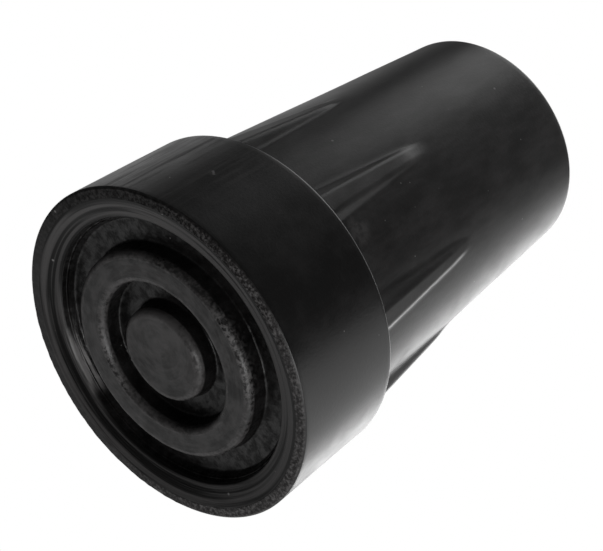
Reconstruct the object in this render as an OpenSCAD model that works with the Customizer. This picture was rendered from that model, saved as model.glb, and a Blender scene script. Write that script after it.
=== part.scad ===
// Rubber cane tip, moulded in one piece, for the end of a walking stick.
// It stands on its foot with the socket opening upwards along +Z.
// The origin is the centre of the foot, on the ground. Sizes are in millimetres.

/* [Socket] */
// Diameter of the stick's socket
bore_d = 19; // [16:0.1:22]
// Depth of the socket below the mouth
bore_depth = 42; // [30:0.5:46]
// Width of the lead-in bevel at the mouth
lead_in = 0.8; // [0.3:0.1:1.4]
// Rounding at the bottom of the socket
bore_floor_round = 1.2; // [0.4:0.1:3]

/* [Sleeve] */
// Height of the whole tip
tip_h = 56.1; // [50:0.1:70]
// Wall of the sleeve at its mouth
mouth_wall = 4; // [2.6:0.1:5]
// How much the sleeve widens on each side between its mouth and the shoulder
sleeve_flare = 2.9; // [1.5:0.1:3.6]
// Rounding of the mouth's outer edge
mouth_round = 0.6; // [0.2:0.1:1.2]
// Fillet between the sleeve and the shoulder
sleeve_fillet = 0.5; // [0.2:0.1:1]

/* [Ribs] */
// Number of ribs round the sleeve
rib_n = 8; // [4:1:10]
// How far a rib stands out of the sleeve at the shoulder
rib_h = 1.15; // [0.5:0.05:1.5]
// How far a rib still stands out at its upper end
rib_tip_h = 0.16; // [0.08:0.02:0.4]
// Height of the ribs above the shoulder
rib_run = 19.8; // [12:0.1:28]
// Width of a rib's outer face at the shoulder
rib_w = 2.1; // [1.4:0.1:3]
// Width of a rib's outer face at its upper end
rib_tip_w = 1.3; // [1:0.1:2.4]
// Width of each sloped flank at the shoulder
rib_flank = 1.25; // [0.7:0.05:1.8]
// Rounding along the edges of a rib's outer face
rib_round = 0.5; // [0.1:0.05:0.7]
// Rounding of the two corners at a rib's upper end
rib_end_round = 0.6; // [0.3:0.05:0.7]

/* [Foot] */
// Width of the shoulder's ledge outside the sleeve
ledge_w = 2.15; // [1.8:0.05:4]
// Height of the shoulder above the ground
foot_h = 14.5; // [10:0.1:22]
// How much the foot's side draws in on each side up to the shoulder
foot_draft = 0.45; // [0.2:0.05:1.5]
// Rounding of the shoulder's edge
shoulder_round = 0.35; // [0.2:0.05:0.6]
// Bevel left round the foot's edge where the flash was trimmed
edge_bevel = 0.25; // [0.1:0.05:0.6]
// Width of the flat land that stands on the ground, bevel included
land_w = 1.2; // [0.8:0.1:1.8]

/* [Underside] */
// Width of the outer rim, land included
rim_w = 3.7; // [2.8:0.1:4.6]
// Rise of the dished rim from the ground to its inner edge
dish_h = 0.8; // [0.3:0.05:1.4]
// Width of the groove between the rim and the ring
groove_w = 3.5; // [2.6:0.1:4.2]
// Width of the ring
ring_w = 3.4; // [2.4:0.1:4.2]
// Width of the groove between the ring and the centre disc
well_w = 3.15; // [2.2:0.1:3.6]
// Height of the ring's and the disc's faces above the ground
face_h = 0; // [0:0.05:0.6]
// Height of the grooves' floors above the ground
floor_h = 2.4; // [1.9:0.1:4]
// Draft of the grooves' walls, measured at their floor
wall_draft = 0.25; // [0.1:0.05:0.4]
// Slope of the rim's inner wall, measured at its floor
rim_slope = 0.7; // [0.3:0.05:0.9]
// Rounding of the ring's and the disc's edges
face_round = 0.7; // [0.2:0.05:0.9]
// Fillet at the floors of the grooves
groove_fillet = 0.25; // [0.1:0.05:0.5]

/* [Hidden] */
$fn = 96;
// Angle that each step of a rounding takes
arc_step = 12;

bore_r = bore_d / 2;
mouth_r = bore_r + mouth_wall;
sleeve_r = mouth_r + sleeve_flare;
shoulder_r = sleeve_r + ledge_w;
foot_r = shoulder_r + foot_draft;
bore_floor = tip_h - bore_depth;

// Radii of the underside, from the foot's edge inwards
rim_r = foot_r - rim_w;
ring_r = rim_r - groove_w;
ring_in_r = ring_r - ring_w;
disc_r = ring_in_r - well_w;

// A rib's outer face is flat and leans in more than the sleeve, until it is almost level with it
rib_crest_r = sleeve_r + rib_h;
rib_end_r = sleeve_r - sleeve_flare * rib_run / (tip_h - foot_h) + rib_tip_h;
rib_lean = atan((rib_crest_r - rib_end_r) / rib_run);
rib_len = rib_run / cos(rib_lean);
// Each of its sides turns in by this angle, so that the outer face narrows upwards
rib_taper = atan((rib_w - rib_tip_w) / 2 / rib_len);
// Its flanks and its foot are carried on for this far inside the sleeve and the shoulder
rib_sunk = 0.8;
rib_depth = rib_h + rib_sunk;
rib_slope = rib_flank / rib_h;
rib_root = rib_w / 2 + rib_depth * rib_slope;
rib_end = rib_tip_w / 2 + rib_tip_h * rib_slope;

// A corner is [radius, height, rounding]. Its arc keeps to under half of both edges.
function point(corner) = [corner[0], corner[1]];
function unit(v) = v / norm(v);
function arc(p, c, n) =
    let (
        u = unit(point(p) - point(c)),
        v = unit(point(n) - point(c)),
        half = acos(u * v) / 2,
        room = 0.48 * min(norm(point(p) - point(c)), norm(point(n) - point(c))),
        cut = min(c[2] / tan(half), room),
        centre = point(c) + unit(u + v) * cut / cos(half),
        start = point(c) + u * cut - centre,
        end = point(c) + v * cut - centre,
        turn = (180 - 2 * half) * sign(cross(start, end)),
        steps = ceil(abs(turn) / arc_step)
    )
    [for (i = [0:steps])
        let (a = turn * i / steps)
        centre + [start[0] * cos(a) - start[1] * sin(a), start[0] * sin(a) + start[1] * cos(a)]];

function rounded(corners) =
    let (count = len(corners))
    [for (i = [0:count - 1])
        let (p = corners[(i + count - 1) % count], c = corners[i], n = corners[(i + 1) % count])
        each c[2] == 0 ? [point(c)] : arc(p, c, n)];

// Half section of the solid tip, from the centre of the disc outwards and up to the mouth
module tip_section() {
    polygon(rounded([
        [0, face_h, 0],
        [disc_r, face_h, face_round],
        [disc_r + wall_draft, floor_h, groove_fillet],
        [ring_in_r - wall_draft, floor_h, groove_fillet],
        [ring_in_r, face_h, face_round],
        [ring_r, face_h, face_round],
        [ring_r + wall_draft, floor_h, groove_fillet],
        [rim_r - rim_slope, floor_h, groove_fillet],
        [rim_r, dish_h, groove_fillet],
        [foot_r - land_w, 0, 0],
        [foot_r - edge_bevel, 0, 0],
        [foot_r, edge_bevel, 0],
        [shoulder_r, foot_h, shoulder_round],
        [sleeve_r, foot_h, sleeve_fillet],
        [mouth_r, tip_h, mouth_round],
        [0, tip_h, 0],
    ]));
}

// Half section of the socket, open above the mouth
module socket_section() {
    over = 1;
    polygon(rounded([
        [0, bore_floor, 0],
        [bore_r, bore_floor, bore_floor_round],
        [bore_r, tip_h - lead_in, 0],
        [bore_r + lead_in, tip_h, 0],
        [bore_r + lead_in, tip_h + over, 0],
        [0, tip_h + over, 0],
    ]));
}

// One side of a rib, along +Z: the outer face lies at x = 0 and the flank at +y,
// and the other side reaches past the mirrored flank
module rib_side() {
    rotate([rib_taper, 0, 0])
    translate([0, 0, -rib_sunk])
    linear_extrude(rib_len + 2 * rib_sunk)
    polygon(rounded([
        [-rib_depth, -rib_root - rib_sunk, 0],
        [0, -rib_root - rib_sunk, 0],
        [0, rib_w / 2, rib_round],
        [-rib_depth, rib_root, 0],
    ]));
}

// What a rib keeps, seen from outside: it ends square, with two rounded corners
module rib_outline() {
    rotate([90, 0, 90])
    translate([0, 0, -rib_depth - rib_sunk])
    linear_extrude(rib_depth + 2 * rib_sunk)
    polygon(rounded([
        [rib_root, -rib_sunk, 0],
        [rib_end, rib_len, rib_end_round],
        [-rib_end, rib_len, rib_end_round],
        [-rib_root, -rib_sunk, 0],
    ]));
}

// One rib, on the +X side of the sleeve: it stands on the shoulder and runs out up the sleeve
module rib() {
    translate([rib_crest_r, 0, foot_h])
    rotate([0, -rib_lean, 0])
    intersection() {
        rib_side();
        mirror([0, 1, 0]) rib_side();
        rib_outline();
    }
}

module rubber_tip() {
    color([0.13, 0.12, 0.125])
    difference() {
        union() {
            rotate_extrude() tip_section();
            for (i = [0:rib_n - 1])
                rotate([0, 0, i * 360 / rib_n]) rib();
        }
        rotate_extrude() socket_section();
    }
}

rubber_tip();
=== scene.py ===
import math

import bpy
import numpy as np
from mathutils import Matrix, Vector


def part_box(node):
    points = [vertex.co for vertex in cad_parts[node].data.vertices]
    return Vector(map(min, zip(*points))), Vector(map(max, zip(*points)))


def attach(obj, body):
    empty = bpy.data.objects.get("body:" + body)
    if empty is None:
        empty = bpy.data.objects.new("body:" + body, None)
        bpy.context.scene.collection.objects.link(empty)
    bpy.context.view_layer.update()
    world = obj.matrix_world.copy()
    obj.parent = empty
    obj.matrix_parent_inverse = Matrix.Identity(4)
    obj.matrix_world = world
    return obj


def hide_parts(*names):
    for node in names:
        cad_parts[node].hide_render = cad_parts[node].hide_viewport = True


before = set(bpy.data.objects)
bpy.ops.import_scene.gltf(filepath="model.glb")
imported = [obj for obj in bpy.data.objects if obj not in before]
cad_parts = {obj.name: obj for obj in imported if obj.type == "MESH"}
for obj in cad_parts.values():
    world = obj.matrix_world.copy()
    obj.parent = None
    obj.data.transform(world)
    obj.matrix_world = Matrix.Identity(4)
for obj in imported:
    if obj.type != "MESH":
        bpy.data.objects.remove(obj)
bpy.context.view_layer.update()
print("frame loaded:", ", ".join(sorted(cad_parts)))

mm = 0.001
tipLow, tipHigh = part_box("rubber_tip")

# The tip's section, in mm, from the centre of the foot outwards and over the sleeve into the socket
tip = dict(
    footRadius=tipHigh.x / mm, height=tipHigh.z / mm,
    footHeight=14.5, footDraft=0.45, shoulderRound=0.35, edgeBevel=0.25, landWidth=1.2,
    rimWidth=3.7, dishRise=0.8, grooveWidth=3.5, ringWidth=3.4, wellWidth=3.15, floorHeight=2.4,
    wallDraft=0.25, rimSlope=0.7, faceRound=0.7, grooveFillet=0.25,
    stepDrop=0.14, stepHeight=1.55, stepLift=0.06, stepRound=0.03, stepEdgeRound=0.05,
    landRound=0.12, bevelRound=0.08, sideRound=0.12,
    boreRadius=9.5, boreDepth=42.0, boreFloorRound=1.2, leadIn=0.8, leadRound=0.2, leadTopRound=0.1,
    mouthWall=4.0, mouthRound=0.6, sleeveFlare=2.9, sleeveFillet=0.5,
)

# The ribs, in mm: rise is how far one stands out of the sleeve. The corners of an end are rounded by
# endRound, the end runs out over endSoft, and rows lie closer together on its last endRows.
rib = dict(
    count=8, rise=1.15, tipRise=0.16, run=19.8, width=2.25, tipWidth=1.3, flank=1.05,
    edgeSoft=0.38, footSoft=0.25, endRound=0.6, endSoft=5.0, endRows=2.6,
    columnsOnFace=7, columnsOnFlank=8, columnsBeside=11,       # in half of a rib's pitch
    leastFlank=0.02, flankEven=0.4, faceGather=1.5, besideGather=1.5,
)

# Small unevenness of the surfaces: how many waves, their shortest and longest length and the depth, in mm
uneven = dict(
    soft=dict(seed=3, waves=14, shortest=9, longest=22, depth=0.03),
    lumpy=dict(seed=5, waves=26, shortest=1.3, longest=3.2, depth=0.03),
    torn=dict(seed=8, waves=40, shortest=0.7, longest=1.6, depth=0.05),
)
evenRows = 0.4      # share of a straight's rows that is evenly spaced
mostCut = 0.48      # share of a straight that one rounding may take
hair = 0.001        # in mm, keeps the mesh inside the box of the CAD


def arcAt(before, corner, after, radius, steps):
    # arc tangent to both straights: its centre is on the bisector, at cut / cos(half the corner's angle)
    toBefore, toAfter = before - corner, after - corner
    u, v = toBefore / np.hypot(*toBefore), toAfter / np.hypot(*toAfter)
    half = math.acos(np.clip(u @ v, -1, 1)) / 2
    cut = min(radius / math.tan(half), mostCut * np.hypot(*toBefore), mostCut * np.hypot(*toAfter))
    centre = corner + (u + v) / np.hypot(*(u + v)) * cut / math.cos(half)
    start, end = corner + u * cut - centre, corner + v * cut - centre
    sweep = (math.pi - 2 * half) * np.sign(start[0] * end[1] - start[1] * end[0])
    angle = sweep * np.linspace(0, 1, steps + 1)
    return centre + np.stack((start[0] * np.cos(angle) - start[1] * np.sin(angle),
                              start[0] * np.sin(angle) + start[1] * np.cos(angle)), 1)


def sectionLine(corners):
    # straights between rounded corners; rows on a straight lie partly evenly and partly at (1 - cos) / 2,
    # which bunches them at its ends
    places = [np.array(corner[:2], float) for corner in corners]
    bends = []
    for i, (_, _, radius, steps, _, _) in enumerate(corners):
        if 0 < i < len(corners) - 1 and radius > 0:
            bends.append(arcAt(places[i - 1], places[i], places[i + 1], radius, steps))
        else:
            bends.append(places[i][None])
    points, zones = [], []
    for i, (_, _, _, _, name, rows) in enumerate(corners):
        points.append(bends[i])
        zones += [name + "Edge"] * len(bends[i])
        if i + 1 < len(corners):
            even = np.arange(1, rows) / rows
            t = (1 - evenRows) * (1 - np.cos(math.pi * even)) / 2 + evenRows * even
            points.append(bends[i][-1] + (bends[i + 1][0] - bends[i][-1]) * t[:, None])
            zones += [name] * (rows - 1)
    return np.concatenate(points), np.array(zones)


def coneRadius(z):
    # the bare sleeve's radius, which falls evenly from the shoulder to the mouth
    share = (tip["height"] - z) / (tip["height"] - tip["footHeight"])
    return tip["boreRadius"] + tip["mouthWall"] + tip["sleeveFlare"] * share


def tipCorners():
    # each corner: radius, height, rounding, rows in the rounding, name of the straight after it, its rows
    foot, height, footHeight = tip["footRadius"], tip["height"], tip["footHeight"]
    rim = foot - tip["rimWidth"]
    ring = rim - tip["grooveWidth"]
    ringIn = ring - tip["ringWidth"]
    disc = ringIn - tip["wellWidth"]
    deep, draft, slope = tip["floorHeight"], tip["wallDraft"], tip["rimSlope"]
    bore, boreFloor = tip["boreRadius"], height - tip["boreDepth"]
    mouth = bore + tip["mouthWall"]
    ribTop = footHeight + rib["run"]
    gathered = ribTop - rib["endRows"]
    step = rim - slope * (tip["stepHeight"] - tip["dishRise"]) / (deep - tip["dishRise"])
    fillet, faceRound = tip["grooveFillet"], tip["faceRound"]
    return [
        (0, 0, 0, 0, "disc", 10),
        (disc, 0, faceRound, 6, "discWall", 5),
        (disc + draft, deep, fillet, 3, "well", 6),
        (ringIn - draft, deep, fillet, 3, "wellWall", 5),
        (ringIn, 0, faceRound, 6, "ring", 10),
        (ring, 0, faceRound, 6, "ringWall", 5),
        (ring + draft, deep, fillet, 3, "groove", 6),
        (rim - slope, deep, fillet, 3, "rimWall", 4),
        (step, tip["stepHeight"] + tip["stepLift"], tip["stepRound"], 1, "rimStep", 1),
        (step + tip["stepDrop"], tip["stepHeight"], tip["stepEdgeRound"], 2, "rimWall", 4),
        (rim, tip["dishRise"], fillet, 3, "dish", 14),
        (foot - tip["landWidth"], 0, tip["landRound"], 3, "land", 5),
        (foot - tip["edgeBevel"], 0, tip["bevelRound"], 2, "bevel", 1),
        (foot, tip["edgeBevel"], tip["sideRound"], 3, "side", 14),
        (foot - tip["footDraft"], footHeight, tip["shoulderRound"], 5, "shoulder", 5),
        (mouth + tip["sleeveFlare"], footHeight, tip["sleeveFillet"], 4, "sleeve", 24),
        (coneRadius(gathered), gathered, 0, 0, "sleeve", 8),
        (coneRadius(ribTop), ribTop, 0, 0, "sleeve", 18),
        (mouth, height, tip["mouthRound"], 5, "mouth", 4),
        (bore + tip["leadIn"], height, tip["leadTopRound"], 2, "lead", 2),
        (bore, height - tip["leadIn"], tip["leadRound"], 2, "bore", 12),
        (bore, boreFloor, tip["boreFloorRound"], 5, "boreFloor", 7),
        (0, boreFloor, 0, 0, "end", 0),
    ]


# Parts of the section that share a finish, by the names of their straights and corners
bands = dict(
    landBand=["land", "landEdge", "bevel", "bevelEdge"],
    dishBand=["dish", "dishEdge"],
    wornEdge=["discWallEdge", "ringEdge", "ringWallEdge"],
    faceBand=["disc", "ring", "discWallEdge", "ringEdge", "ringWallEdge"],
    deepBand=["discWall", "well", "wellEdge", "wellWall", "wellWallEdge", "ringWall", "groove", "grooveEdge",
              "rimWall", "rimWallEdge", "rimStep", "rimStepEdge"],
    stepBand=["rimStep", "rimStepEdge"],
    sideBand=["side", "sideEdge"],
    sleeveBand=["sleeve", "sleeveEdge", "shoulder", "mouthEdge"],
)


def softMax(a, b, reach):
    # the larger of two, with their meeting line rounded over reach: max + reach h^2 / 4
    h = np.clip(1 - np.abs(a - b) / reach, 0, 1)
    return np.maximum(a, b) + reach * h ** 2 / 4


def smoothStep(low, high, value):
    # 3 t^2 - 2 t^3, where t is how far the value has come from low to high
    t = np.clip((value - low) / (high - low), 0, 1)
    return t * t * (3 - 2 * t)


def ribLines(z):
    # at each height: the rib's crest radius, half the width of its face and of its root, how far up it is
    up = np.clip((z - tip["footHeight"]) / rib["run"], 0, None)
    cone = coneRadius(np.maximum(z, tip["footHeight"]))
    crest = cone + rib["rise"] + (rib["tipRise"] - rib["rise"]) * up
    half = (rib["width"] + (rib["tipWidth"] - rib["width"]) * up) / 2
    root = half + np.clip(crest - cone, 0, None) * rib["flank"] / rib["rise"]
    return up, cone, crest, half, root


def ribColumns(z, onSleeve):
    # angles across each rib's pitch: on the sleeve the columns gather at the face's edge and at the root,
    # as 1 - (1 - t)^power on the face, partly as (1 - cos) / 2 on the flank, and as t^power beside the rib
    top = tip["footHeight"] + rib["run"]
    _, cone, crest, half, root = ribLines(np.clip(z, tip["footHeight"], top))
    pitch = 2 * math.pi / rib["count"]
    atEdge, atRoot = np.arcsin(half / crest)[:, None], np.arcsin(root / cone)[:, None]
    atRoot = np.maximum(atRoot, atEdge + rib["leastFlank"])
    onFace = np.arange(rib["columnsOnFace"]) / rib["columnsOnFace"]
    onFlank = np.arange(rib["columnsOnFlank"]) / rib["columnsOnFlank"]
    beside = np.arange(rib["columnsBeside"]) / rib["columnsBeside"]
    onFlank = (rib["flankEven"] * onFlank
               + (1 - rib["flankEven"]) * (1 - np.cos(math.pi * onFlank)) / 2)
    gathered = np.concatenate((
        atEdge * (1 - (1 - onFace) ** rib["faceGather"]),
        atEdge + (atRoot - atEdge) * onFlank,
        atRoot + (pitch / 2 - atRoot) * beside ** rib["besideGather"]), 1)
    count = gathered.shape[1]
    even = np.arange(count)[None] * pitch / 2 / count
    half = np.where(onSleeve[:, None], gathered, even)
    middle = np.full_like(atEdge, pitch / 2)
    onePitch = np.concatenate((half, middle, pitch - half[:, :0:-1]), 1)
    return np.concatenate([onePitch + k * pitch for k in range(rib["count"])], 1)


def ribbedRadius(theta, z):
    # the sleeve's cone joined with the ribs: a rib's face is a plane, r cos f = crest, and its flank another,
    # r (cos f + sin f / slope) = crest + half / slope, where f is the angle from the rib's middle
    up, cone, crest, half, root = ribLines(z)
    pitch = 2 * math.pi / rib["count"]
    fold = np.abs((theta + pitch / 2) % pitch - pitch / 2)
    slope = rib["flank"] / rib["rise"]
    face = crest / np.cos(fold)
    flank = (crest + half / slope) / (np.cos(fold) + np.sin(fold) / slope)
    raised = -softMax(-face, -flank, rib["edgeSoft"]) - cone
    # the end is square with rounded corners: inside is how far a point lies from it, down the sleeve
    side = np.clip(crest * np.sin(fold) - (root - rib["endRound"]), 0, rib["endRound"])
    corner = rib["endRound"] - np.sqrt(np.clip(rib["endRound"] ** 2 - side ** 2, 0, None))
    inside = rib["run"] * (1 - up) - corner
    return cone + softMax(0, raised, rib["footSoft"]) * smoothStep(0, rib["endSoft"], inside)


def buildTip():
    # the section turned round the axis, with the ribs' radius in place of the cone's on the sleeve
    line, zones = sectionLine(tipCorners())
    r1, z1 = line[:, 0], line[:, 1]
    onSleeve = np.isin(zones, ["sleeve", "sleeveEdge"])
    theta = ribColumns(z1, onSleeve | (zones == "mouthEdge"))
    r = np.repeat(r1[:, None], theta.shape[1], 1)
    z = np.repeat(z1[:, None], theta.shape[1], 1)
    cone = ribLines(z[onSleeve])[1]
    r[onSleeve] += ribbedRadius(theta[onSleeve], z[onSleeve]) - cone
    # the shoulder runs in to the foot of the sleeve and of the ribs
    shoulderRows = np.flatnonzero(zones == "shoulder")
    firstSleeve = np.flatnonzero(onSleeve)[0]
    startR = r1[shoulderRows[0] - 1]
    share = (startR - r1[shoulderRows]) / (startR - r1[firstSleeve])
    r[shoulderRows] = startR - share[:, None] * (startR - r[firstSleeve])
    print("section of %d rows, %d columns" % theta.shape)
    return theta, r, z, line, zones


def wander(x, y, z, seed, waves, shortest, longest, depth):
    # a sum of sines along random directions in space, of random phase, kept to -1..1 and then lowered to
    # -depth..0, so that it only takes material away
    rng = np.random.default_rng(seed)
    total = np.zeros(x.shape)
    for _ in range(waves):
        way = rng.normal(size=3)
        way *= 2 * math.pi / rng.uniform(shortest, longest) / np.linalg.norm(way)
        total += np.sin(way[0] * x + way[1] * y + way[2] * z + rng.uniform(0, 2 * math.pi))
    return depth * (np.clip(total / math.sqrt(waves), -1, 1) - 1) / 2


def roughen(theta, r, z, line, zones):
    # unevenness along the section's own normal, (dz, -dr) / length: worn edges are lumpy, the land is torn
    dr, dz = np.gradient(line[:, 0]), np.gradient(line[:, 1])
    size = np.hypot(dr, dz)
    nr, nz = (dz / size)[:, None], (-dr / size)[:, None]
    x, y = r * np.cos(theta), r * np.sin(theta)
    soft, lumpy, torn = (wander(x, y, z, **uneven[name]) for name in ("soft", "lumpy", "torn"))
    isLand = np.isin(zones, bands["landBand"])[:, None]
    isWorn = np.isin(zones, bands["wornEdge"])[:, None]
    move = soft + lumpy * isWorn + torn * isLand
    move[line[:, 0] < 1e-6] = 0          # the poles stay
    return r + nr * move, z + nz * move


def tipMesh():
    # (r cos f, r sin f, z) on the grid of rows and columns, closed round and with a fan at each pole
    theta, r, z, line, zones = buildTip()
    r, z = roughen(theta, r, z, line, zones)
    ringRows = slice(1, len(line) - 1)       # the first and last rows are the poles
    theta, r, z, zones = theta[ringRows], r[ringRows], z[ringRows], zones[ringRows]
    rows, columns = theta.shape
    spots = np.stack((r * np.cos(theta), r * np.sin(theta), z), 2).reshape(-1, 3)
    spots[:, 1] = np.clip(spots[:, 1], tipLow.y / mm + hair, tipHigh.y / mm - hair)
    poles = np.array([[0, 0, 0], [0, 0, tip["height"] - tip["boreDepth"]]])
    spots = np.concatenate((spots, poles)) * mm
    here = np.arange(rows * columns).reshape(rows, columns)
    beside = np.roll(here, -1, 1)
    quads = np.stack((here[:-1], beside[:-1], beside[1:], here[1:]), 2).reshape(-1, 4)
    first, last = rows * columns, rows * columns + 1
    under = np.stack((np.full(columns, first), beside[0], here[0]), 1)
    inner = np.stack((np.full(columns, last), here[-1], beside[-1]), 1)
    loops = np.concatenate((quads.ravel(), under.ravel(), inner.ravel()))
    starts = np.concatenate((np.arange(len(quads)) * 4, len(quads) * 4 + np.arange(2 * columns) * 3))
    mesh = bpy.data.meshes.new("rubberTip")
    mesh.vertices.add(len(spots))
    mesh.vertices.foreach_set("co", spots.astype(np.float32).ravel())
    mesh.loops.add(len(loops))
    mesh.loops.foreach_set("vertex_index", loops.astype(np.int32))
    mesh.polygons.add(len(starts))
    mesh.polygons.foreach_set("loop_start", starts.astype(np.int32))
    mesh.polygons.foreach_set("use_smooth", np.ones(len(starts), bool))
    mesh.update(calc_edges=True)
    mesh.validate()
    print("rubber tip: %d vertices, %d faces" % (len(spots), len(starts)))
    return mesh, zones, columns


def keepMask(mesh, name, perRow, columns):
    # one value for each row of the grid, the same round the tip
    values = np.concatenate((np.repeat(perRow, columns), [perRow[0], perRow[-1]]))
    mask = mesh.attributes.new(name, "FLOAT", "POINT")
    mask.data.foreach_set("value", values.astype(np.float32))


mesh, zones, columns = tipMesh()
for bandName, bandZones in bands.items():
    keepMask(mesh, bandName, np.isin(zones, bandZones).astype(float), columns)
rubberTip = bpy.data.objects.new("rubberTip", mesh)
bpy.context.scene.collection.objects.link(rubberTip)


def linear(hexColour):
    # sRGB to linear: (c + 0.055) / 1.055 to the power 2.4, or c / 12.92 where dark
    parts = [int(hexColour[i:i + 2], 16) / 255 for i in (1, 3, 5)]
    return tuple(c / 12.92 if c <= 0.04045 else ((c + 0.055) / 1.055) ** 2.4 for c in parts) + (1.0,)


def addNode(tree, kind, inputs=None, out=0, **settings):
    # adds a node and gives back one of its outputs; an input takes a plain value or another node's output
    node = tree.nodes.new("ShaderNode" + kind)
    for name, value in settings.items():
        setattr(node, name, value)
    for name, value in (inputs or {}).items():
        if isinstance(value, bpy.types.NodeSocket):
            tree.links.new(value, node.inputs[name])
        else:
            node.inputs[name].default_value = value
    return node.outputs[out] if node.outputs else None


def patch(tree, place, pattern, low, high, least=0.0, most=1.0):
    # place times a smooth change from least to most, while the pattern goes from low to high
    amount = addNode(tree, "MapRange", {"Value": pattern, "From Min": low, "From Max": high,
                                        "To Min": least, "To Max": most}, interpolation_type="SMOOTHSTEP")
    return addNode(tree, "Math", {0: place, 1: amount}, operation="MULTIPLY")


def addLayers(tree, total, layers, parts, operation="ADD"):
    # each layer is a patch: place, pattern, low, high, least, most
    for place, pattern, low, high, least, most in layers:
        amount = patch(tree, parts[place], parts[pattern], low, high, least, most)
        total = addNode(tree, "Math", {0: total, 1: amount}, operation=operation)
    return addNode(tree, "Math", {0: total, 1: 0.0}, operation="ADD", use_clamp=True)


# Black rubber, pressed hot in a turned steel mould: it is nearly black and so shows mostly by its gloss, with
# fine turning lines, a thin grey bloom, and dust. Sizes are in mm, angles in degrees round the tip from +X.
rubber = dict(
    colour="#0f0e0e", bloom="#4c4a4a", pale="#949292", ior=1.6,
    gloss=0.5, roughness=0.28, mottleRough=0.10, bloomRough=0.2,
    speckSpacing=2.2, speckRadius=0.11, speckCore=0.3,
    dustRadius=0.2, dustCore=0.06, crumbMottle=0.5,
    turnedSpread=0.45, swirlSpread=0.2,              # how fast these lines change along their length
    swirlMiddle=(1.2, -1.6, 0),
    ringPitch=1.3, ringAt=15.7, ringShare=0.08,      # the lighter rings on the dished rim
    discSide=-10, discReach=5.0, discInside=5.8, discOutside=6.5,
)
# Noise patterns: the way each is read, its size in mm, detail and roughness. The grain of a real mould is
# about 0.1 mm, and is drawn three times as coarse so that it shows.
patterns = dict(
    grain=("plain", 0.3, 3.0, 0.6),              # all over
    mottle=("plain", 4.0, 5.0, 0.65),            # broad cloudy differences
    fineMottle=("plain", 1.1, 3.0, 0.6),
    lines=("turned", 0.16, 2.0, 0.6),            # concentric, left by the turning of the mould
    broadLines=("turned", 0.8, 2.0, 0.6),
    streaks=("upright", 0.4, 3.0, 0.6),          # along the axis, on the foot's side
    wear=("plain", 2.4, 5.0, 0.6),               # on the faces that stand on the ground
    swirls=("swirling", 0.6, 3.0, 0.6),
    smudges=("drawnOut", 1.6, 5.0, 0.7),         # along the sleeve
    granules=("plain", 0.45, 2.0, 0.7),          # on the cut land
)
alongAxis = dict(upright=1 / 35, drawnOut=0.3)   # how much a length along the axis counts in these

# Parts of a band that lie on one side: band, side, how far towards it they start and are full (1 is right
# there), and the strength at each of the two
sideParts = dict(
    landWearAndPaintedLight=("landBand", 75, -0.5, 0.6, 0.12, 1.0),       # where the land was cut more coarsely; its paleness here is painted light, on the side towards the low lamps
    landDark=("landBand", -35, 0.2, 0.9, 0.0, 1.0),
    streaked=("sideBand", -66, 0.55, 0.95, 0.04, 1.0),
)

# Layers: place, pattern, the pattern's low and high value, and what the layer gives at each of them
bloomLayers = [
    ("all", "mottle", 0.40, 0.70, 0.00, 0.14),
    # the land's bloom on one side is partly its coarser cut and partly painted light
    ("landWearAndPaintedLight", "granules", 0.30, 0.74, 0.30, 1.00),
    ("wornEdge", "granules", 0.40, 0.66, 0.10, 0.80),
    ("faceBand", "broadLines", 0.40, 0.70, 0.00, 0.30),
    ("faceBand", "wear", 0.42, 0.66, 0.00, 0.35),
    ("faceBand", "swirls", 0.42, 0.66, -0.05, 0.32),
    ("onDisc", "discLean", 0.00, 1.00, -0.10, 0.45),
    ("dishBand", "dishLines", 0.42, 0.60, -0.15, 0.80),
    ("streaked", "streaks", 0.42, 0.70, 0.00, 0.50),
    ("sleeveBand", "smudges", 0.30, 0.75, 0.13, 0.31),
]
paleLayers = [
    ("speck", "chosen", 0.40, 0.80, 0.00, 1.00),
    ("dust", "even", 0.00, 1.00, 0.00, 0.80),
    # the land's pale crumbs on one side are partly its coarser cut and partly painted light
    ("landWearAndPaintedLight", "crumbs", 0.66, 1.10, 0.00, 0.60),
]
roughLayers = [
    ("wornEdge", "fineMottle", 0.40, 0.60, -0.10, 0.06),
    ("streaked", "streaks", 0.40, 0.75, 0.00, 0.10),
    ("landBand", "even", 0.00, 1.00, 0.00, 0.22),
]
dullLayers = [                                   # taken off the gloss by dirt and wear
    ("deepBand", "fineMottle", 0.38, 0.62, 0.05, 0.36),
    ("faceBand", "wear", 0.35, 0.60, 0.20, 0.00),
    ("dishBand", "dishLines", 0.40, 0.60, 0.36, 0.06),
    ("sleeveBand", "smudges", 0.38, 0.70, 0.09, 0.00),
    ("landWearAndPaintedLight", "granules", 0.34, 0.66, 0.32, 0.12),
    ("landDark", "granules", 0.30, 0.72, 0.42, 0.20),
    ("stepBand", "even", 0.00, 1.00, 0.00, 0.50),
]
bumps = [                                        # place, pattern, height in mm
    ("all", "grain", 0.012),
    ("dishBand", "lines", 0.05),
    ("wornEdge", "granules", 0.03),
    ("deepBand", "fineMottle", 0.12),
    ("faceBand", "swirls", 0.03),
    ("streaked", "streaks", 0.010),
    ("landWearAndPaintedLight", "granules", 0.10),
]

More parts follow.
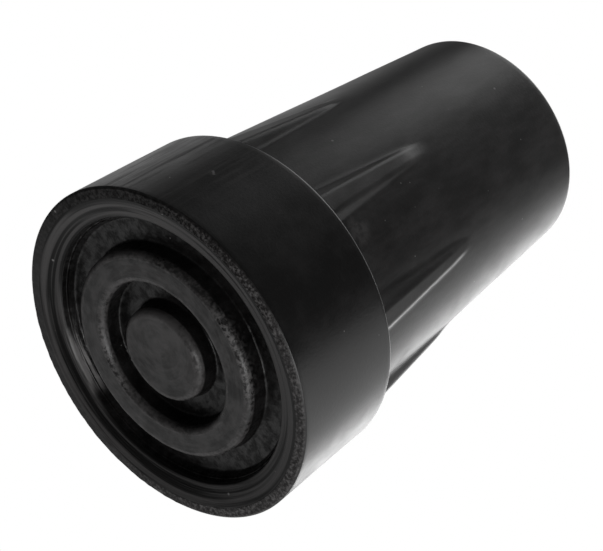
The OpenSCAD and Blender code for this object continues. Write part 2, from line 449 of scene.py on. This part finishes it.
# Pale marks on arcs of the underside: a worn scuff on the rim, and painted highlights on the groove wall, the
# ring's edges and the disc's edge. For each: middle angle, half the sweep, radius, half the width, how pale
# each is and the pattern that breaks it up
arcMarks = dict(
    rimScuff=dict(angle=-151, half=17, radius=15.1, width=0.8, share=0.8, pattern="lines"),
    # grooveGlint is a painted highlight: a thin pale line on the left of the rim wall
    grooveGlint=dict(angle=-150.5, half=4.5, radius=14.85, width=0.14, share=0.9, pattern="lines"),
    # painted highlights: pale granular arcs on the ring's outer edge, its inner edge and the disc's edge, on
    # the side towards the low lamps
    paintedRingHighlight=dict(angle=34, half=30, radius=11.5, width=0.5, share=0.42, pattern="granules"),
    paintedRingInnerHighlight=dict(angle=-146, half=34, radius=8.75, width=0.4, share=0.3, pattern="granules"),
    paintedDiscHighlight=dict(angle=37, half=20, radius=4.95, width=0.35, share=0.28, pattern="granules"),
)
# Grey scuffs elsewhere: place and radius in mm
spotMarks = dict(
    ribScuff=dict(place=(15.9, 3.6, 17.6), radius=2.4, share=0.7),
    sideNick=dict(place=(16.36, -9.18, 7.7), radius=0.7, share=1.0),
)
markCore, arcCore = 0.2, 0.4                     # the share of a mark that is as strong as its middle
# the arcs are painted pale: the rim scuff as wear, the others as painted highlights
for name, mark in arcMarks.items():
    paleLayers.append((name, mark["pattern"], 0.42, 0.60, 0.00, mark["share"]))
for name, mark in spotMarks.items():
    bloomLayers.append((name, "fineMottle", 0.38, 0.62, 0.00, mark["share"]))
# Specks of dust that stay where they are: radius from the axis, angle, height
dustSpots = (
    (13.3, -156.5, 0.72), (13.25, -170.7, 0.73), (13.7, 169, 0.6), (8.1, 153, 1.2), (18.5, -82, 0),
    (16.4, -104, 0.45), (16.3, 117, 0.48), (13.95, -6, 49.7), (15.7, -22.8, 24.6),
    (18.77, -28.7, 7.5), (18.76, -29.3, 7.7), (18.76, -29.9, 7.85),
)


def towards(tree, vector, angle):
    # how far a vector reaches along a direction round the tip: x cos a + y sin a
    a = math.radians(angle)
    return addNode(tree, "VectorMath", {0: vector, 1: (math.cos(a), math.sin(a), 0)}, "Value",
                   operation="DOT_PRODUCT")


def farFrom(tree, inMm, place):
    # the distance from a place: the root of the summed squares
    return addNode(tree, "VectorMath", {0: inMm, 1: place}, "Value", operation="DISTANCE")


def readingWays(tree, inMm, around, rho):
    # the vectors that the patterns are read with: a pattern is long in a direction that counts for little
    ways = {"plain": inMm}
    for name, share in alongAxis.items():
        ways[name] = addNode(tree, "VectorMath", {0: inMm, 1: (1, 1, share)}, operation="MULTIPLY")
    fromSwirl = farFrom(tree, inMm, rubber["swirlMiddle"])
    for name, radius, vector, spread in (("turned", rho, around, rubber["turnedSpread"]),
                                         ("swirling", fromSwirl, inMm, rubber["swirlSpread"])):
        outwards = addNode(tree, "CombineXYZ", {"Z": radius})
        ways[name] = addNode(tree, "VectorMath", {0: vector, 1: (spread, spread, 0), 2: outwards},
                             operation="MULTIPLY_ADD")
    return ways


def dustMask(tree, inMm):
    # 1 in the middle of the closest placed speck, 0 away from all of them
    closest = rubber["dustRadius"]
    for rho, angle, height in dustSpots:
        a = math.radians(angle)
        away = farFrom(tree, inMm, (rho * math.cos(a), rho * math.sin(a), height))
        closest = addNode(tree, "Math", {0: closest, 1: away}, operation="MINIMUM")
    return patch(tree, 1.0, closest, rubber["dustRadius"], rubber["dustCore"])


def addMarks(tree, parts, inMm, around, rho):
    # an arc's mask falls off with the angle and with the radius, and a spot's with the distance
    underside = 0.0
    for name in ("dishBand", "deepBand", "faceBand"):
        underside = addNode(tree, "Math", {0: underside, 1: parts[name]}, operation="ADD")
    for name, mark in arcMarks.items():
        half = math.radians(mark["half"])
        facing = towards(tree, around, mark["angle"])
        sweep = patch(tree, underside, facing, math.cos(half), math.cos(half * arcCore))
        off = addNode(tree, "Math", {0: rho, 1: mark["radius"]}, operation="SUBTRACT")
        off = addNode(tree, "Math", {0: off}, operation="ABSOLUTE")
        parts[name] = patch(tree, sweep, off, mark["width"], mark["width"] * markCore)
    for name, mark in spotMarks.items():
        away = farFrom(tree, inMm, mark["place"])
        parts[name] = patch(tree, 1.0, away, mark["radius"], mark["radius"] * markCore)


def addPlaces(tree, parts, inMm, around, rho):
    for name, (band, side, low, high, least, most) in sideParts.items():
        parts[name] = patch(tree, parts[band], towards(tree, around, side), low, high, least, most)
    # the disc is paler on one side
    parts["onDisc"] = patch(tree, parts["faceBand"], rho, rubber["discOutside"], rubber["discInside"])
    parts["discLean"] = patch(tree, 1.0, towards(tree, inMm, rubber["discSide"]),
                              -rubber["discReach"], rubber["discReach"])
    # lighter rings all round the dished rim: a sine of the radius on top of the lines
    pace = 2 * math.pi / rubber["ringPitch"]
    start = math.pi / 2 - rubber["ringAt"] * pace
    rings = addNode(tree, "Math", {0: rho, 1: pace, 2: start}, operation="MULTIPLY_ADD")
    rings = addNode(tree, "Math", {0: rings}, operation="SINE")
    parts["dishLines"] = addNode(tree, "Math", {0: rings, 1: rubber["ringShare"], 2: parts["broadLines"]},
                                 operation="MULTIPLY_ADD")
    parts["crumbs"] = addNode(tree, "Math", {0: parts["mottle"], 1: rubber["crumbMottle"],
                                             2: parts["granules"]}, operation="MULTIPLY_ADD")
    # one random point in each cell of a grid carries a speck, and the cell's colour says how strong it is
    spacing, radius = rubber["speckSpacing"], rubber["speckRadius"]
    apart = addNode(tree, "TexVoronoi", {"Vector": inMm, "Scale": 1 / spacing}, feature="F1")
    parts["speck"] = patch(tree, 1.0, apart, radius / spacing, rubber["speckCore"] * radius / spacing)
    parts["chosen"] = addNode(tree, "SeparateColor", {0: apart.node.outputs["Color"]})
    parts["dust"] = dustMask(tree, inMm)


def mouldedBlackRubber():
    material = bpy.data.materials.new("mouldedBlackRubber")
    material.use_nodes = True
    tree = material.node_tree
    tree.nodes.clear()
    where = addNode(tree, "TexCoord", out="Object")
    inMm = addNode(tree, "VectorMath", {0: where, "Scale": 1 / mm}, operation="SCALE")
    flat = addNode(tree, "VectorMath", {0: inMm, 1: (1, 1, 0)}, operation="MULTIPLY")
    rho = addNode(tree, "VectorMath", {0: flat}, "Value", operation="LENGTH")
    around = addNode(tree, "VectorMath", {0: flat}, operation="NORMALIZE")

    ways = readingWays(tree, inMm, around, rho)
    parts = {"all": 1.0, "even": 1.0}
    for name, (way, size, detail, roughness) in patterns.items():
        parts[name] = addNode(tree, "TexNoise", {"Vector": ways[way], "Scale": 1 / size, "Detail": detail,
                                                 "Roughness": roughness}, "Fac")
    for name in bands:
        parts[name] = addNode(tree, "Attribute", out="Fac", attribute_name=name)
    addPlaces(tree, parts, inMm, around, rho)
    addMarks(tree, parts, inMm, around, rho)

    # colour: the bloom lies on the black, and dust, scuffs and painted highlights on both
    bloom = addLayers(tree, 0.0, bloomLayers, parts)
    pale = addLayers(tree, 0.0, paleLayers, parts)
    colour = linear(rubber["colour"])
    for share, over in ((bloom, rubber["bloom"]), (pale, rubber["pale"])):
        colour = addNode(tree, "Mix", {0: share, 6: colour, 7: linear(over)}, 2, data_type="RGBA")

    # gloss: rougher where the rubber is cut, worn or clouded
    rough = rubber["roughness"]
    for cloud, weight in ((parts["mottle"], rubber["mottleRough"]), (bloom, rubber["bloomRough"])):
        rough = addNode(tree, "Math", {0: cloud, 1: weight, 2: rough}, operation="MULTIPLY_ADD")
    rough = addLayers(tree, rough, roughLayers, parts)
    gloss = addLayers(tree, rubber["gloss"], dullLayers, parts, "SUBTRACT")

    normal = addNode(tree, "NewGeometry", out="Normal")
    for place, pattern, height in bumps:
        raised = addNode(tree, "Math", {0: parts[place], 1: parts[pattern]}, operation="MULTIPLY")
        normal = addNode(tree, "Bump", {"Height": raised, "Strength": 1.0, "Distance": height * mm,
                                        "Normal": normal})
    shader = addNode(tree, "BsdfPrincipled", {"Base Color": colour, "Roughness": rough, "IOR": rubber["ior"],
                                              "Specular IOR Level": gloss, "Normal": normal})
    addNode(tree, "OutputMaterial", {"Surface": shader})
    print("rubber material: %d nodes" % len(tree.nodes))
    return material


mesh.materials.append(mouldedBlackRubber())
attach(rubberTip, "root")
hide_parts("rubber_tip")

# The photograph's view, from below the foot; angles in degrees, places in mm
photoView = dict(azimuth=101.119, elevation=-40.044, roll=55.80, distance=206.849,
                 aim=(-0.221, 1.125, 21.624), lens=112.898, sensor=36.0)


def directionOf(azimuth, elevation):
    # towards the camera of a view: (sin a cos e, -cos a cos e, sin e)
    a, e = math.radians(azimuth), math.radians(elevation)
    return Vector((math.sin(a) * math.cos(e), -math.cos(a) * math.cos(e), math.sin(e)))


def placeCamera():
    # the level right hand turned about the view by the roll
    back = directionOf(photoView["azimuth"], photoView["elevation"])
    a, turn = math.radians(photoView["azimuth"]), math.radians(photoView["roll"])
    level = Vector((math.cos(a), math.sin(a), 0))
    right = level * math.cos(turn) + back.cross(level) * math.sin(turn)
    up = back.cross(right)
    data = bpy.data.cameras.new("photoCamera")
    data.sensor_width, data.lens = photoView["sensor"], photoView["lens"]
    data.sensor_fit = "HORIZONTAL"
    data.clip_start, data.clip_end = 0.02, 20.0
    camera = bpy.data.objects.new("photoCamera", data)
    bpy.context.scene.collection.objects.link(camera)
    spot = (Vector(photoView["aim"]) + back * photoView["distance"]) * mm
    camera.matrix_world = Matrix.Translation(spot) @ Matrix((right, up, back)).transposed().to_4x4()
    bpy.context.scene.camera = camera
    print("camera placed")


placeCamera()

# Softboxes: bearing in degrees from the camera's side of the tip, height in degrees above the floor,
# size in metres, and how bright each looks, where 1 is white
boxDistance = 0.6
softboxes = dict(
    lowPanel=dict(bearing=49, height=-36, size=(0.22, 0.5), bright=3.0),
    lowFill=dict(bearing=78, height=-32, size=(0.55, 0.6), bright=0.6),
    sidePanel=dict(bearing=101, height=40, size=(0.92, 0.3), bright=0.82),
    backPanel=dict(bearing=156, height=49, size=(0.46, 0.32), bright=2.6),
    topPanel=dict(bearing=180, height=86, size=(0.4, 0.4), bright=1.3),
    farPanel=dict(bearing=-138, height=34, size=(0.56, 0.3), bright=0.46),
    leftPanel=dict(bearing=-76, height=69, size=(0.3, 0.36), bright=1.5),
)


def placeSoftboxes():
    # an even panel of area A that looks L bright gives off pi L A
    for name, box in softboxes.items():
        data = bpy.data.lights.new(name, "AREA")
        data.shape = "RECTANGLE"
        data.size, data.size_y = box["size"]
        data.energy = box["bright"] * math.pi * data.size * data.size_y
        light = bpy.data.objects.new(name, data)
        bpy.context.scene.collection.objects.link(light)
        away = directionOf(photoView["azimuth"] + box["bearing"], box["height"])
        middle = Vector((0, 0, tip["height"] / 2 * mm))
        light.location = middle + away * boxDistance
        light.rotation_euler = away.to_track_quat("Z", "Y").to_euler()
        light.visible_camera = False
        print("softbox", name)


placeSoftboxes()


# How bright the surroundings look to the rubber: the middle of the pale part in degrees, how near to it the
# paleness starts and is full (1 is right there), its levels, and the heights between which it fades downwards
studio = dict(
    bearing=142, height=-20, outer=0.35, inner=0.85, least=0.06, most=0.44,
    floorAt=-0.93, fullAt=-0.78,
)


def makeWorld():
    # white for the camera and through glass; the rubber sees a dark room that is pale on the far side, low
    # down, and dark again where the floor would be
    world = bpy.data.worlds.new("studio")
    world.use_nodes = True
    tree = world.node_tree
    tree.nodes.clear()
    byCamera = addNode(tree, "LightPath", out="Is Camera Ray")
    through = addNode(tree, "LightPath", out="Is Transmission Ray")
    seen = addNode(tree, "Math", {0: byCamera, 1: through}, operation="MAXIMUM")
    direction = addNode(tree, "TexCoord", out="Generated")
    middle = directionOf(photoView["azimuth"] + studio["bearing"], studio["height"])
    facing = addNode(tree, "VectorMath", {0: direction, 1: middle}, "Value", operation="DOT_PRODUCT")
    share = patch(tree, 1.0, facing, studio["outer"], studio["inner"], studio["least"], studio["most"])
    height = addNode(tree, "SeparateXYZ", {0: direction}, "Z")
    share = patch(tree, share, height, studio["floorAt"], studio["fullAt"])
    strength = addNode(tree, "Mix", {0: seen, 2: share, 3: 1.0}, data_type="FLOAT")
    shade = addNode(tree, "Background", {"Color": (1, 1, 1, 1), "Strength": strength})
    addNode(tree, "OutputWorld", {"Surface": shade})
    bpy.context.scene.world = world
    print("world made")


makeWorld()

# The floor, in metres, lies just under the foot, so that the two faces don't fight
ground = dict(reach=1.5, drop=0.05 * mm, colour="#f1f0ee")


def makeFloor():
    # pale for the camera from above, and clear for everything else
    reach, low = ground["reach"], -ground["drop"]
    mesh = bpy.data.meshes.new("floor")
    corners = [(-reach, -reach, low), (reach, -reach, low), (reach, reach, low), (-reach, reach, low)]
    mesh.from_pydata(corners, [], [(0, 1, 2, 3)])
    floor = bpy.data.objects.new("floor", mesh)
    bpy.context.scene.collection.objects.link(floor)
    material = bpy.data.materials.new("paleFloor")
    material.use_nodes = True
    tree = material.node_tree
    tree.nodes.clear()
    byCamera = addNode(tree, "LightPath", out="Is Camera Ray")
    fromBelow = addNode(tree, "NewGeometry", out="Backfacing")
    fromAbove = addNode(tree, "Math", {0: byCamera, 1: fromBelow}, operation="SUBTRACT", use_clamp=True)
    pale = addNode(tree, "BsdfDiffuse", {"Color": linear(ground["colour"])})
    clear = addNode(tree, "BsdfTransparent")
    both = addNode(tree, "MixShader", {0: fromAbove, 1: clear, 2: pale})
    addNode(tree, "OutputMaterial", {"Surface": both})
    mesh.materials.append(material)
    print("floor made")


makeFloor()
bpy.context.scene.view_settings.view_transform = "Standard"
